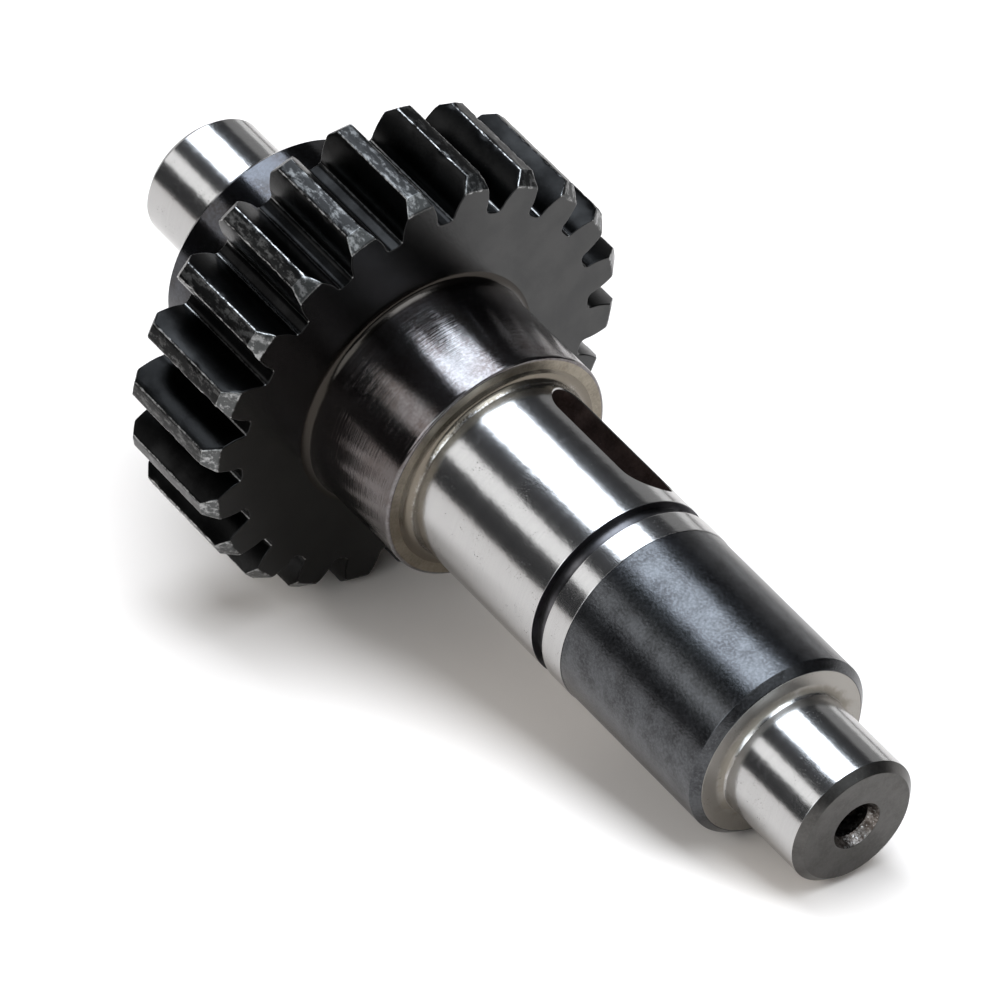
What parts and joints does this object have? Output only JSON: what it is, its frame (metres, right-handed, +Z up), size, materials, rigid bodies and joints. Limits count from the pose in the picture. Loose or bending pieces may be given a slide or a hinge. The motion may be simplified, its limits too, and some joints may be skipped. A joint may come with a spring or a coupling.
{
  "type": "transmission shaft",
  "caption": "Stepped steel shaft with a spur gear, ground bearing journals, a keyed seat and a retaining-ring groove, all cut from a single piece.",
  "frame": {"origin": "on the floor plane that the resting shaft touches, under the middle of its bounding box", "axes": "+Z up; the shaft's axis lies in the XZ plane, with its small front journal towards +X and about 14 degrees nose down, because the shaft rests on two gear teeth and on the rim of its nose"},
  "size_m": [0.1292, 0.0604, 0.0618],
  "materials": {
    "dark_hardened_steel": "dark heat-treated surface, with the journals, the seat and the front shoulder ground bright"
  },
  "bodies": {
    "root": {"transmission_shaft": "dark_hardened_steel"}
  },
  "joints": []
}
